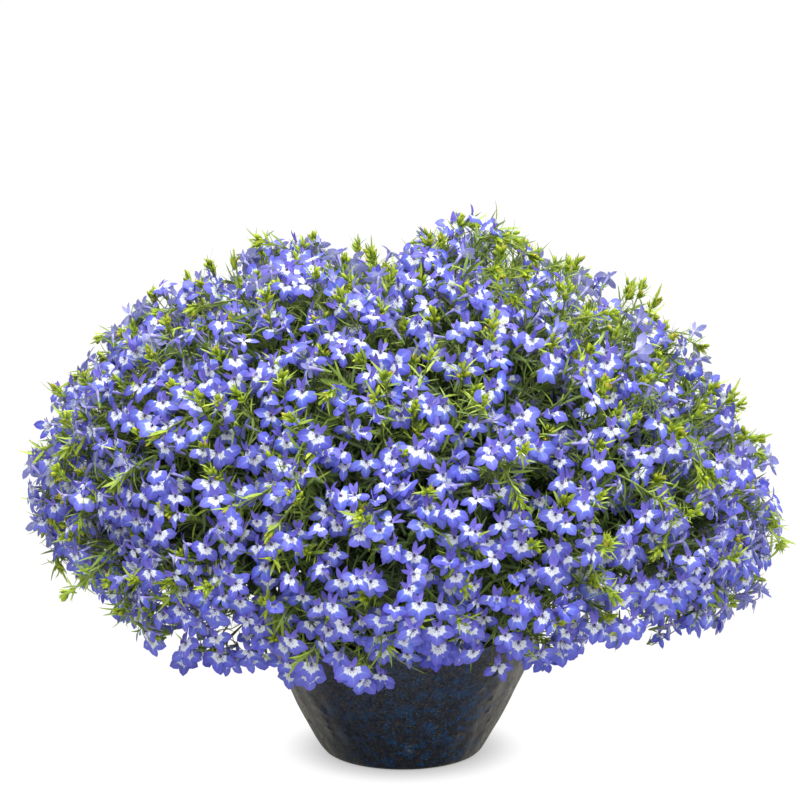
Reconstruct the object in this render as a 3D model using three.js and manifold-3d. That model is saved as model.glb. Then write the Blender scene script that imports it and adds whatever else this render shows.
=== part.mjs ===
import * as THREE from "three";
import { mergeVertices } from "three/addons/utils/BufferGeometryUtils.js";
import Module from "manifold-3d";

// A trailing lobelia in full bloom in a glazed bowl. The plants are a wide, rounded mound of leafy stems
// that rise from the soil, arch over the rim and end in blooms that cover the mound on every side.
//
// Millimetres, +Z up, +X to the right, -Y to the front. The origin is the middle of the bowl's foot,
// on the surface that the bowl stands on.
//
// Each spray of the plant is two solids: its green stem with the leaves at its head, and its
// flowering top, a short stalk that stands in a plain hole among the leaves and carries the blooms.
// A real mound has well over a thousand small blooms. Here they are fewer and larger than life,
// so that they still cover it.

// ---- Bowl and soil ----
const FOOT_RADIUS = 44;
const RIM_RADIUS = 90;
const BOWL_HEIGHT = 86;
const WALL = 6;
const BOWL_FLOOR = 9;
const BOWL_SIDES = 24;
const SOIL_TOP = 73;
const SOIL_DOME = 4;
const CLEARANCE = 0.35;

// ---- Mound: an upright ellipsoid, flatter below its widest level than above it ----
const MOUND_MIDDLE = 150;
const MOUND_HALF_WIDTH = 219;
const MOUND_HALF_DEPTH = 210;
const MOUND_RISE = 163;
const MOUND_DROP = 104;
const LOWEST_LATITUDE = THREE.MathUtils.degToRad(-50);
const FRINGE_TURN = 0.5;
const GOLDEN_ANGLE = Math.PI * (3 - Math.sqrt(5));

// Plants that have grown together leave low humps: the place of each, its height and its spread.
const HUMPS = [
  { x: 46, y: -12, z: 310, height: 11, spread: 34 },
  { x: -52, y: -20, z: 300, height: 5, spread: 40 },
  { x: -168, y: -40, z: 245, height: 5, spread: 38 },
  { x: 165, y: -30, z: 250, height: -7, spread: 48 },
  { x: 20, y: 130, z: 270, height: 7, spread: 44 },
  { x: -30, y: -190, z: 150, height: 5, spread: 44 },
  { x: 150, y: 130, z: 150, height: 5, spread: 44 },
  { x: -140, y: 140, z: 170, height: 4, spread: 44 },
];

// ---- Sprays: how many, and how far below the mound's surface their parts lie ----
const SPRAYS = 25;
const HOLE_CIRCLE = 64;
const STEM_RADIUS = 2.6;
const STEM_DEPTH = 18;
const STEM_STEPS = 7;
const STEM_OVER_RIM = 22;
const STALK_RADIUS = 2.7;
const SOCKET_BOTTOM = 49;
const TOP_PEDICEL = 18;
const LOWEST_PEDICEL = 32;
const SETTLING_ROUNDS = 12;

// ---- Leaves: a whorl that comes up between the blooms, and plain ones that back it ----
const WHORL_DEPTH = 46;
const WHORL_CORE = 8;
const WHORL_LEAVES = 8;
const LEAF_HALF_WIDTH = 6;
const LEAF_ARCH = 6;
const LEAF_THICKNESS = 2.0;
const LEAF_CLEARANCE = 1;
const LEAF_TURN_SHARE = 0.9;
const LEAF_TIP_DEPTHS = [-6, 4, 14];
const LEAF_SPACING = 13;
const LEAF_SPREAD = 22;
const LEAF_CANDIDATES = 1400;
const MOUTH_DEPTH = 38;
const NECK_DEPTH = 54;
const NECK_RADIUS = 6;
const BACKING_DEPTH = 62;
const BACKING_RISE = 8;
const BACKING_REACH = 56;
const BACKING_CORE = 24;
const BACKING_LEAVES = 7;
const BACKING_BOTTOM = 72;
const BETWEEN_SPRAYS = 1.2;

// ---- Blooms ----
const BLOOMS = 150;
const BLOOM_SCALE = 2.8;
const BLOOM_AWAY = 0.3;
const BLOOM_FOLLOW = 0.6;
const PEDICEL_RADIUS = 1.2;
const TUBE_RADIUS = 2.6;

const GREEN = { color: 0x6f8a2c, roughness: 0.6, metalness: 0 };
const BLUE = { color: 0x6266d2, roughness: 0.55, metalness: 0 };
const GLAZE = { color: 0x1d2430, roughness: 0.35, metalness: 0 };
const EARTH = { color: 0x2e2318, roughness: 0.95, metalness: 0 };

const wasm = await Module();
wasm.setup();

// A repeatable draw of numbers from 0 to 1.
function seeded(seed) {
  let state = seed;
  return () => {
    state = (state + 0x6d2b79f5) | 0;
    let t = Math.imul(state ^ (state >>> 15), 1 | state);
    t = (t + Math.imul(t ^ (t >>> 7), 61 | t)) ^ t;
    return ((t ^ (t >>> 14)) >>> 0) / 4294967296;
  };
}

const vector = (x, y, z) => new THREE.Vector3(x, y, z);

// A closed geometry as a manifold-3d solid.
function solid(geometry) {
  const bare = new THREE.BufferGeometry();
  bare.setAttribute("position", geometry.getAttribute("position"));
  if (geometry.index) bare.setIndex(geometry.index);
  const merged = mergeVertices(bare, 1e-3);
  const triVerts = [];
  const index = merged.index.array;
  for (let i = 0; i < index.length; i += 3) {
    const [a, b, c] = [index[i], index[i + 1], index[i + 2]];
    if (a !== b && b !== c && c !== a) triVerts.push(a, b, c);
  }
  return new wasm.Manifold(
    new wasm.Mesh({
      numProp: 3,
      vertProperties: new Float32Array(merged.getAttribute("position").array),
      triVerts: new Uint32Array(triVerts),
    }),
  );
}

// A geometry from a list of points and a list of triangles.
function faceted(points, triangles) {
  const geometry = new THREE.BufferGeometry();
  const flat = points.flatMap((p) => [p.x, p.y, p.z]);
  geometry.setAttribute("position", new THREE.Float32BufferAttribute(flat, 3));
  geometry.setIndex(triangles.flat());
  return geometry;
}

function mesh(name, shape, finish) {
  const { vertProperties, triVerts, numProp, numVert } = shape.getMesh();
  const positions = new Float32Array(numVert * 3);
  for (let i = 0; i < numVert; i++) {
    positions.set(vertProperties.subarray(i * numProp, i * numProp + 3), i * 3);
  }
  const geometry = new THREE.BufferGeometry();
  geometry.setAttribute("position", new THREE.BufferAttribute(positions, 3));
  geometry.setIndex(new THREE.BufferAttribute(triVerts, 1));
  geometry.computeVertexNormals();
  const made = new THREE.Mesh(geometry, new THREE.MeshStandardMaterial(finish));
  made.name = name;
  return made;
}

// The frame whose Z axis is `outward` and whose Y axis is as near to `upward` as it can be.
function frameAt(origin, outward, upward) {
  const z = outward.clone().normalize();
  const x = upward.clone().cross(z).normalize();
  const y = z.clone().cross(x);
  return new THREE.Matrix4().makeBasis(x, y, z).setPosition(origin);
}

// ---- Where things lie on the mound ----

// A point on the mound, `depth` below its surface, and the way out from there. The way out is that
// of the ellipsoid, turned up towards the level at the fringe.
function moundPoint(azimuth, latitude, depth = 0) {
  const vertical = latitude > 0 ? MOUND_RISE : MOUND_DROP;
  const level = Math.cos(latitude);
  const steep = Math.sin(latitude) / vertical;
  const outward = vector(
    (level * Math.cos(azimuth)) / MOUND_HALF_WIDTH,
    (level * Math.sin(azimuth)) / MOUND_HALF_DEPTH,
    latitude > 0 ? steep : steep * FRINGE_TURN,
  ).normalize();
  const place = vector(
    MOUND_HALF_WIDTH * level * Math.cos(azimuth),
    MOUND_HALF_DEPTH * level * Math.sin(azimuth),
    MOUND_MIDDLE + vertical * Math.sin(latitude),
  );
  const swell = HUMPS.reduce((sum, { x, y, z, height, spread }) => {
    const share = place.distanceTo(vector(x, y, z)) / spread;
    return sum + height * Math.exp(-share * share);
  }, 0);
  return { place: place.addScaledVector(outward, swell - depth), outward };
}

// Latitudes that split the mound into bands of equal area, from the top to its lowest level.
const latitudes = (() => {
  const steps = 720;
  const span = Math.PI / 2 - LOWEST_LATITUDE;
  const sums = [0];
  for (let i = 0; i < steps; i++) {
    const latitude = Math.PI / 2 - ((i + 0.5) / steps) * span;
    const vertical = latitude > 0 ? MOUND_RISE : MOUND_DROP;
    const slope = Math.hypot(vertical * Math.cos(latitude), MOUND_HALF_WIDTH * Math.sin(latitude));
    sums.push(sums[i] + Math.cos(latitude) * slope);
  }
  return (share) => {
    const step = sums.findIndex((sum) => sum >= share * sums[steps]);
    return Math.PI / 2 - (step / steps) * span;
  };
})();

// Golden-angle points: `count` places spread evenly over the mound, from its top downwards.
function spread(count, turn) {
  return Array.from({ length: count }, (_, i) => {
    const azimuth = i * GOLDEN_ANGLE + turn;
    const latitude = latitudes((i + 0.5) / count);
    return { azimuth, latitude, ...moundPoint(azimuth, latitude) };
  });
}

// Blooms face outwards and a little up, and lean away from straight up at the top of the mound.
const random = seeded(7);
const blooms = spread(BLOOMS, 1.3).map((site) => {
  const away = vector(Math.cos(site.azimuth), Math.sin(site.azimuth), 0);
  const facing = site.outward.clone().addScaledVector(away, BLOOM_AWAY);
  if (facing.z < 0) facing.z *= FRINGE_TURN;
  facing.add(vector(random() - 0.5, random() - 0.5, random() * 0.3).multiplyScalar(0.35));
  facing.normalize();
  const upward = vector(0, 0, 1).addScaledVector(away, -0.6 * Math.max(0, site.outward.z));
  return { ...site, facing, upward };
});

function nearest(items, place) {
  const distance = (item) => item.place.distanceTo(place);
  return items.reduce((best, item) => (distance(item) < distance(best) ? item : best));
}

// Each spray settles in the middle of the blooms that lie nearest to it. Its frame has its Z axis
// along the way out, and its origin on the mound's surface.
const sprays = (() => {
  let settled = spread(SPRAYS, 0.4);
  for (let round = 0; round <= SETTLING_ROUNDS; round++) {
    for (const spray of settled) spray.blooms = [];
    for (const bloom of blooms) nearest(settled, bloom.place).blooms.push(bloom);
    if (round === SETTLING_ROUNDS) break;
    settled = settled.map((spray) => {
      const middle = vector(0, 0, 0);
      for (const { azimuth, latitude } of spray.blooms) {
        middle.add(vector(Math.cos(azimuth), Math.sin(azimuth), 0).multiplyScalar(Math.cos(latitude)));
        middle.z += Math.sin(latitude);
      }
      const azimuth = Math.atan2(middle.y, middle.x);
      const latitude = Math.asin(middle.z / middle.length());
      return { azimuth, latitude, ...moundPoint(azimuth, latitude) };
    });
  }
  settled.sort((a, b) => b.place.z - a.place.z);
  return settled.map((spray, i) => {
    const radius = HOLE_CIRCLE * Math.sqrt((i + 0.5) / SPRAYS);
    const hole = vector(radius * Math.cos(spray.azimuth), radius * Math.sin(spray.azimuth), SOIL_TOP);
    const across = vector(-Math.sin(spray.azimuth), Math.cos(spray.azimuth), 0);
    const frame = frameAt(spray.place, spray.outward, across);
    return { ...spray, hole, across, frame, leaves: [] };
  });
})();

// ---- Bloom: two narrow upper lobes and three broad lower ones, as angle from straight down and radius ----
const LOBES = [
  [0, 9.6],
  [21, 8.8],
  [37, 5.2],
  [55, 8.8],
  [77, 9.4],
  [98, 7.6],
  [119, 3.2],
  [155, 7.8],
  [180, 2.2],
];
const LOBE_LIFT = [-1.2, 0.5, 0.2, 0.9, -0.6, 0.3, -0.4, -1.8, -0.8];
const THROAT_DEPTH = 1.1;
const TUBE_BEHIND = 3.4;

function bloomOutline() {
  const right = LOBES.map(([angle, radius], i) => ({ angle, radius, lift: LOBE_LIFT[i] }));
  const left = right.slice(1, -1).map((p) => ({ ...p, angle: -p.angle }));
  return [...right, ...left.reverse()].map(({ angle, radius, lift }) => {
    const turn = THREE.MathUtils.degToRad(angle - 90);
    return vector(Math.cos(turn) * radius, Math.sin(turn) * radius, lift).multiplyScalar(BLOOM_SCALE);
  });
}

// The ring of `count` points at `centre`, square to `axis`, that starts on the side of `first`.
function ring(centre, axis, radius, count, first) {
  const frame = frameAt(centre, axis, first);
  return Array.from({ length: count }, (_, k) => {
    const angle = Math.PI / 2 + (k * 2 * Math.PI) / count;
    return vector(Math.cos(angle) * radius, Math.sin(angle) * radius, 0).applyMatrix4(frame);
  });
}

// A square ring round the axis of a spray's frame, at a depth below the mound's surface.
const AXIS = vector(0, 0, 1);
const SQUARE = 4;
const square = (radius, depth) => ring(vector(0, 0, -depth), AXIS, radius, SQUARE, vector(0, 1, 0));

// One bloom with its tube and pedicel: the face is a fan round the throat, the back narrows to the
// tube, and the tube tapers along the pedicel into the stalk.
function growBloom(bloom, node) {
  const outline = bloomOutline();
  const straight = bloom.place.clone().sub(node).normalize();
  const facing = bloom.facing.clone().addScaledVector(straight, BLOOM_FOLLOW).normalize();
  const frame = frameAt(bloom.place, facing, bloom.upward);
  const throat = vector(0, 0, -THROAT_DEPTH * BLOOM_SCALE);
  const points = [throat, ...outline].map((p) => p.applyMatrix4(frame));
  // The tube bends from the way that the bloom faces to the way that the pedicel comes.
  const bend = straight.add(facing).normalize();
  const tubeEnd = bloom.place.clone().addScaledVector(bend, -TUBE_BEHIND * BLOOM_SCALE);
  const tube = ring(tubeEnd, bend, TUBE_RADIUS, 3, bloom.upward.clone().negate());
  const first = tube[0].clone().sub(node);
  points.push(...tube, ...ring(node, tubeEnd.clone().sub(node), PEDICEL_RADIUS, 3, first));

  const count = outline.length;
  const tubeAt = 1 + count;
  const triangles = [];
  const rim = (i) => 1 + (i % count);
  const behind = (i) => tubeAt + (Math.floor((i + count / 6) / (count / 3)) % 3);
  for (let i = 0; i < count; i++) {
    triangles.push([0, rim(i), rim(i + 1)], [rim(i + 1), rim(i), behind(i)]);
    if (behind(i) !== behind(i + 1)) triangles.push([rim(i + 1), behind(i), behind(i + 1)]);
  }
  for (let k = 0; k < 3; k++) {
    const [a, b] = [tubeAt + k, tubeAt + ((k + 1) % 3)];
    triangles.push([b, a, a + 3], [b, a + 3, b + 3]);
  }
  triangles.push([tubeAt + 5, tubeAt + 4, tubeAt + 3]);
  return solid(faceted(points, triangles));
}

// The walls between two rings of as many points, the upper one first.
function walls(upper, lower) {
  return upper.flatMap((_, k) => {
    const next = (k + 1) % upper.length;
    return [
      [upper[k], lower[k], lower[next]],
      [upper[k], lower[next], upper[next]],
    ];
  });
}

// The flat end of a square ring that faces along the axis.
const lid = ([a, b, c, d]) => [[a, b, c], [a, c, d]];
const reversed = (triangles) => triangles.map(([a, b, c]) => [a, c, b]);
const skin = (triangles) => solid(new THREE.BufferGeometry().setFromPoints(triangles.flat()));

// A flowering top: its stalk stands in the leafy head, and its pedicels leave the stalk one above
// another, those of the farthest blooms lowest.
function bloomSpray(spray) {
  const foot = square(STALK_RADIUS, SOCKET_BOTTOM - CLEARANCE);
  const top = square(STALK_RADIUS, TOP_PEDICEL - STALK_RADIUS);
  const stalk = skin([...lid(top), ...walls(top, foot), ...reversed(lid(foot))]);
  const planted = stalk.transform(spray.frame.elements);
  const far = (bloom) => bloom.place.distanceTo(spray.place);
  const ordered = [...spray.blooms].sort((a, b) => far(a) - far(b));
  const grown = ordered.map((bloom, i) => {
    const share = i / Math.max(1, ordered.length - 1);
    const depth = THREE.MathUtils.lerp(TOP_PEDICEL, LOWEST_PEDICEL, share);
    return growBloom(bloom, vector(0, 0, -depth).applyMatrix4(spray.frame));
  });
  return { shape: grown.reduce((sum, part) => sum.add(part), planted), grown };
}

// ---- Leaves, in their spray's frame ----
// Half outline and rib from the root to the tip, as share of the length and of the half width.
const LEAF_EDGE = [
  [0.5, 1],
  [0.54, 0.62],
  [0.76, 0.76],
];
const LEAF_RIB = [0.5, 0.76];

// The leaf from the middle of its whorl to its tip. Its front and its back are alike, and meet at
// its edges: each has its own two points on the rib, `side` from the leaf's middle layer.
function leafHalf(leaf, roots, side) {
  const centre = vector(0, 0, -WHORL_DEPTH);
  const along = leaf.tip.clone().sub(centre);
  const sideways = AXIS.clone().cross(along).normalize();
  const at = ([share, half], lift = 0) => {
    const point = centre.clone().addScaledVector(along, share).addScaledVector(sideways, half * leaf.half);
    point.z += LEAF_ARCH * Math.sin(share * Math.PI) + lift;
    return point;
  };
  const [lower, upper] = LEAF_RIB.map((share) => at([share, 0], (side * LEAF_THICKNESS) / 2));
  const right = [roots[0], ...LEAF_EDGE.map(([share, half]) => at([share, -half]))];
  const left = [roots[1], ...LEAF_EDGE.map(([share, half]) => at([share, half]))];
  const faces = ([root, shoulder, notch, tooth]) => [
    [root, shoulder, lower],
    [lower, shoulder, notch],
    [lower, notch, tooth],
    [lower, tooth, upper],
    [upper, tooth, leaf.tip],
  ];
  return { lower, triangles: [...faces(right), ...reversed(faces(left))] };
}

const turnOf = (point) => Math.atan2(point.y, point.x);
const polar = (radius, turn, depth) => vector(Math.cos(turn) * radius, Math.sin(turn) * radius, -depth);

// The surface between a small square ring and a wide loop of points, both in order round the axis.
// Each point of the loop joins the corner that it lies nearest to in angle, and each side of the
// square joins the nearer of the two points that it lies between.
function flare(corners, loop) {
  const quarter = (2 * Math.PI) / SQUARE;
  const corner = (point) => (Math.round((turnOf(point) - quarter) / quarter) + SQUARE) % SQUARE;
  return loop.flatMap((point, i) => {
    const next = loop[(i + 1) % loop.length];
    const near = Math.hypot(point.x, point.y) < Math.hypot(next.x, next.y) ? point : next;
    const face = [[corners[corner(near === point ? next : point)], point, next]];
    for (let k = corner(point); k !== corner(next); k = (k + 1) % SQUARE) {
      face.push([corners[k], near, corners[(k + 1) % SQUARE]]);
    }
    return face;
  });
}

// The whorl's leaves in order round the axis, and a valley at the core between each and the next.
function whorl(leaves) {
  const turned = [...leaves].sort((a, b) => turnOf(a.tip) - turnOf(b.tip));
  const valleys = turned.map(({ tip }, i) => {
    const turn = turnOf(tip);
    const next = turnOf(turned[(i + 1) % turned.length].tip);
    const gap = (next - turn + 2 * Math.PI) % (2 * Math.PI);
    return polar(WHORL_CORE, turn + gap / 2, WHORL_DEPTH);
  });
  const [front, back] = [1, -1].map((side) => {
    const halves = turned.map((leaf, i) => leafHalf(leaf, [valleys.at(i - 1), valleys[i]], side));
    return {
      loop: halves.flatMap(({ lower }, i) => [lower, valleys[i]]),
      triangles: halves.flatMap(({ triangles }) => triangles),
    };
  });
  return { front, back };
}

// Plain leaves all round, up to the spray's neighbours, and the valleys between them.
function backing(spray) {
  const step = (2 * Math.PI) / BACKING_LEAVES;
  return Array.from({ length: BACKING_LEAVES }, (_, k) => {
    const turn = (k + 0.5) * step - Math.PI;
    const place = (reach) => polar(reach, turn, BACKING_DEPTH - (BACKING_RISE * reach) / BACKING_REACH);
    let reach = BACKING_REACH;
    while (reach > BACKING_CORE && !hasRoom(spray, place(reach))) reach -= 1;
    return [place(reach), polar(Math.min(BACKING_CORE, 0.7 * reach), turn + step / 2, BACKING_DEPTH)];
  }).flat();
}

// ---- Room for the leaves ----

// A spray's own room, in its frame, ends half way to the heads of its neighbours.
function hasRoom(spray, point) {
  const place = point.clone().applyMatrix4(spray.frame);
  const headOf = ({ frame }) => vector(0, 0, -WHORL_DEPTH).applyMatrix4(frame);
  const head = headOf(spray);
  return sprays.every((other) => {
    if (other === spray) return true;
    const towards = headOf(other).sub(head);
    const half = (towards.length() - BETWEEN_SPRAYS) / 2;
    return place.clone().sub(head).dot(towards.normalize()) < half;
  });
}

// A single leaf, a little wider than it is, to try whether it crosses something.
function trialLeaf(leaf) {
  const wide = { ...leaf, half: leaf.half + LEAF_CLEARANCE };
  const turn = turnOf(leaf.tip);
  const roots = [-0.5, 0.5].map((step) => polar(WHORL_CORE, turn + step, WHORL_DEPTH));
  const [front, back] = [1, -1].map((side) => leafHalf(wide, roots, side));
  const mouth = polar(STALK_RADIUS, turn, MOUTH_DEPTH);
  return skin([
    ...front.triangles,
    [mouth, roots[0], front.lower],
    [mouth, front.lower, roots[1]],
    [roots[0], mouth, roots[1]],
    ...reversed(back.triangles),
    [roots[0], roots[1], back.lower],
  ]);
}

// Half the turn round the axis that a leaf takes up where it is widest.
function spanOf(tip) {
  const away = LEAF_EDGE[0][0] * Math.hypot(tip.x, tip.y);
  return LEAF_TURN_SHARE * Math.atan(LEAF_HALF_WIDTH / away);
}

// The leaves point to the widest gaps between the blooms. Each comes up as far as it can without
// crossing a bloom, a pedicel or a neighbour.
function placeLeaves(grown) {
  const gaps = spread(LEAF_CANDIDATES, 2.1).map((site) => {
    const open = nearest(blooms, site.place).place.distanceTo(site.place);
    return { ...site, open, spray: nearest(sprays, site.place) };
  });
  gaps.sort((a, b) => b.open - a.open);
  const places = [];
  for (const depth of LEAF_TIP_DEPTHS) {
    for (const { azimuth, latitude, spray } of gaps) {
      const { place } = moundPoint(azimuth, latitude, depth);
      const tip = place.clone().applyMatrix4(spray.frame.clone().invert());
      const tight = spray.leaves.some((leaf) => {
        const apart = Math.abs(turnOf(leaf.tip) - turnOf(tip));
        return Math.min(apart, 2 * Math.PI - apart) < spanOf(leaf.tip) + spanOf(tip);
      });
      const crowded = places.some((other) => other.distanceTo(place) < LEAF_SPACING);
      const full = spray.leaves.length >= WHORL_LEAVES;
      const upright = Math.hypot(tip.x, tip.y) < LEAF_SPREAD;
      if (full || upright || tight || crowded || !hasRoom(spray, tip)) continue;
      const leaf = { tip, half: LEAF_HALF_WIDTH };
      const trial = trialLeaf(leaf).transform(spray.frame.elements);
      if (grown.some((bloom) => trial.intersect(bloom).volume() > 0)) continue;
      places.push(place);
      spray.leaves.push(leaf);
    }
  }
}

// ---- Leafy stem ----

// The stem rises straight out of the soil, clears the rim where it has to, and runs into its leaves.
// Its rings are square to its path, the lowest first.
function stemRings(spray) {
  const top = vector(0, 0, -BACKING_BOTTOM).applyMatrix4(spray.frame);
  const below = vector(0, 0, -BACKING_BOTTOM - 8).applyMatrix4(spray.frame);
  const up = (height) => spray.hole.clone().add(vector(0, 0, height));
  const points = [up(-STEM_DEPTH), up(-STEM_DEPTH / 2), up(3), up(9)];
  if (Math.hypot(top.x, top.y) > RIM_RADIUS - 2) {
    const over = vector(top.x, top.y, 0).setLength(RIM_RADIUS - 10);
    over.z = BOWL_HEIGHT + STEM_OVER_RIM;
    points.push(over);
  }
  points.push(below, top);
  const path = new THREE.CatmullRomCurve3(points, false, "centripetal");
  return Array.from({ length: STEM_STEPS + 1 }, (_, i) => {
    const share = i / STEM_STEPS;
    const tangent = i === STEM_STEPS ? spray.outward : path.getTangentAt(share);
    return ring(path.getPointAt(share), tangent, STEM_RADIUS, SQUARE, spray.across);
  });
}

// One closed skin: the socket for the bloom stalk, the leaves round it, the neck, the plain leaves
// that back them, and the stem down into the soil.
function leafySpray(spray) {
  const bore = STALK_RADIUS + CLEARANCE / Math.cos(Math.PI / SQUARE);
  const [mouth, floor] = [square(bore, MOUTH_DEPTH), square(bore, SOCKET_BOTTOM)];
  const neck = square(NECK_RADIUS, NECK_DEPTH);
  const leaves = whorl(spray.leaves);
  const behind = backing(spray);
  const rings = stemRings(spray);
  const toFrame = spray.frame.clone().invert();
  const stem = rings.map((points) => points.map((p) => p.clone().applyMatrix4(toFrame)));
  const stemWalls = stem.slice(1).flatMap((upper, i) => walls(upper, stem[i]));
  return skin([
    ...lid(floor),
    ...reversed(walls(mouth, floor)),
    ...flare(mouth, leaves.front.loop),
    ...leaves.front.triangles,
    ...reversed(leaves.back.triangles),
    ...reversed(flare(neck, leaves.back.loop)),
    ...flare(neck, behind),
    ...reversed(flare(stem.at(-1), behind)),
    ...stemWalls,
    ...reversed(lid(stem[0])),
  ]).transform(spray.frame.elements);
}

// ---- Bowl and soil ----

// Radius of the bowl's outside at a height: nearly straight sides that flare from a rounded foot.
function bowlRadius(z) {
  const share = z / BOWL_HEIGHT;
  return FOOT_RADIUS + 4 + (RIM_RADIUS - FOOT_RADIUS - 4) * (1.16 * share - 0.16 * share * share);
}

function bowl() {
  const outside = [8, 20, 36, 54, 70, 80].map((z) => new THREE.Vector2(bowlRadius(z), z));
  const inside = [80, 60, 40, 20].map((z) => new THREE.Vector2(bowlRadius(z) - WALL, z));
  const profile = [
    new THREE.Vector2(0, 0),
    new THREE.Vector2(FOOT_RADIUS, 0),
    new THREE.Vector2(FOOT_RADIUS + 4.5, 2.5),
    ...outside,
    new THREE.Vector2(RIM_RADIUS - 1, BOWL_HEIGHT - 1.5),
    new THREE.Vector2(RIM_RADIUS - WALL / 2, BOWL_HEIGHT),
    new THREE.Vector2(RIM_RADIUS - WALL + 1, BOWL_HEIGHT - 1.5),
    ...inside,
    new THREE.Vector2(bowlRadius(BOWL_FLOOR) - WALL - 3, BOWL_FLOOR),
    new THREE.Vector2(0, BOWL_FLOOR),
  ];
  return solid(new THREE.LatheGeometry(profile, BOWL_SIDES).rotateX(Math.PI / 2));
}

function soil() {
  const edge = (z) => bowlRadius(z) - WALL - 2 * CLEARANCE;
  const profile = [
    new THREE.Vector2(0, BOWL_FLOOR + CLEARANCE),
    new THREE.Vector2(edge(BOWL_FLOOR) - 3.5, BOWL_FLOOR + CLEARANCE),
    new THREE.Vector2(edge(20), 20),
    new THREE.Vector2(edge(40), 40),
    new THREE.Vector2(edge(60), 60),
    new THREE.Vector2(edge(SOIL_TOP - SOIL_DOME), SOIL_TOP - SOIL_DOME),
    new THREE.Vector2(HOLE_CIRCLE * 0.55, SOIL_TOP),
    new THREE.Vector2(0, SOIL_TOP + 1),
  ];
  const heap = solid(new THREE.LatheGeometry(profile, BOWL_SIDES).rotateX(Math.PI / 2));
  const holes = sprays.map(({ hole, across }) => {
    const bore = STEM_RADIUS + CLEARANCE / Math.cos(Math.PI / SQUARE);
    const top = hole.clone().add(vector(0, 0, SOIL_DOME + 2));
    const bottom = hole.clone().add(vector(0, 0, -STEM_DEPTH - CLEARANCE));
    const [upper, lower] = [top, bottom].map((p) => ring(p, AXIS, bore, SQUARE, across));
    return skin([...lid(upper), ...walls(upper, lower), ...reversed(lid(lower))]);
  });
  return holes.reduce((sum, hole) => sum.subtract(hole), heap);
}

// ---- The whole object ----
const lobelia = new THREE.Group();
lobelia.name = "trailing_lobelia";
lobelia.add(mesh("bowl", bowl(), GLAZE));
lobelia.add(mesh("soil", soil(), EARTH));
const flowering = sprays.map(bloomSpray);
placeLeaves(flowering.flatMap(({ grown }) => grown));
sprays.forEach((spray, i) => {
  const number = String(i + 1).padStart(2, "0");
  lobelia.add(mesh(`leafy_spray_${number}`, leafySpray(spray), GREEN));
  lobelia.add(mesh(`bloom_spray_${number}`, flowering[i].shape, BLUE));
});

export default lobelia;
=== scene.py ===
import math

import bmesh
import bpy
import numpy as np
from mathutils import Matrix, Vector


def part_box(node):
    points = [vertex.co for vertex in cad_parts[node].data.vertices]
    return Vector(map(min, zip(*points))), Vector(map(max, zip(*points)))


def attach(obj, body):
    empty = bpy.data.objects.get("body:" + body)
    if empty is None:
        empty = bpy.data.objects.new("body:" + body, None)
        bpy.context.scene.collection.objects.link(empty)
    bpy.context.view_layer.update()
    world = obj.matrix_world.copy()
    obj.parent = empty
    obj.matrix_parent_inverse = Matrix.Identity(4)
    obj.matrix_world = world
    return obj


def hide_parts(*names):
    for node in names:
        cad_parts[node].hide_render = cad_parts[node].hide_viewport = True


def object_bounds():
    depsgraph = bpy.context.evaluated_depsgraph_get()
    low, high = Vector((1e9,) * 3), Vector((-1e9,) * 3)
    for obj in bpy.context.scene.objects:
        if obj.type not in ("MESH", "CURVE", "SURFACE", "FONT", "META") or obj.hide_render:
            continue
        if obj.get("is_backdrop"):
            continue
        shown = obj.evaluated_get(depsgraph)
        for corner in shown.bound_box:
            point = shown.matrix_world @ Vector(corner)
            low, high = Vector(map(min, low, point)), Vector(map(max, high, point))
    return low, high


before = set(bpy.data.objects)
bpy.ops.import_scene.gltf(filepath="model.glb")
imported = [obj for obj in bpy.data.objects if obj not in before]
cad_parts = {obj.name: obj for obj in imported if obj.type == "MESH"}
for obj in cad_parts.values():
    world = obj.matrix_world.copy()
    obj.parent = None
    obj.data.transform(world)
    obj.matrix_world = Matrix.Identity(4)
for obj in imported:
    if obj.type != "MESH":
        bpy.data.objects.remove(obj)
cad_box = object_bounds()

# ---- Bowl ----
# A thick stoneware bowl, turned on a wheel, with a flat foot, nearly straight flared sides and a rounded rim.
# It was dipped in a dark glaze that broke in the kiln into black, brown and cobalt blue, and its sides keep
# the potter's ridges, small blisters and one dent near the foot.
BOWL_FOOT = 0.044
BOWL_HEEL = 0.004
BOWL_RIM = 0.090
BOWL_HEIGHT = 0.086
BOWL_BULGE = 0.16
BOWL_WALL = 0.006
BOWL_FLOOR = 0.009
BOWL_AROUND = 288
FOOT_ROUND = 0.0045
RIM_ROUND = 0.003
RIPPLE = 0.00022
RIDGE = 0.0006
BLISTERS = 90
DENT_TURN = math.radians(-86)
DENT_HEIGHT = 0.0166
DENT_DEPTH = 0.0014
DENT_LIP = 0.0008
RELIEF_LIMIT = 0.0016
# Ripples: waves round the bowl, half the waves up it in radians to the metre, and relative height.
RIPPLES = ((2, 20, 1.4), (3, 35, 1.0), (5, 60, 0.8), (9, 120, 0.6), (14, 60, 0.5), (23, 190, 0.4))


def side_radius(height):
    """Radius of the bowl's outside at a height, from the heel to the rim by (1 + bulge) s - bulge s squared,
    where s is the share of the height."""
    share = height / BOWL_HEIGHT
    start = BOWL_FOOT + BOWL_HEEL
    return start + (BOWL_RIM - start) * ((1 + BOWL_BULGE) * share - BOWL_BULGE * share**2)


def arc(centre, radius, start, end, count):
    """Points on a circle in the plane of radius and height, from one angle in degrees to another."""
    angle = np.radians(np.linspace(start, end, count))
    return np.stack([centre[0] + radius * np.cos(angle), centre[1] + radius * np.sin(angle)], 1)


def turned(profile, around):
    """A profile of radius and height carried round the axis: (radius cos a, radius sin a, height)."""
    angle = np.arange(around) * 2 * np.pi / around
    radius, height = profile[:, 0, None], profile[:, 1, None]
    return np.stack([radius * np.cos(angle), radius * np.sin(angle), height + 0 * angle], 2)


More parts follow.
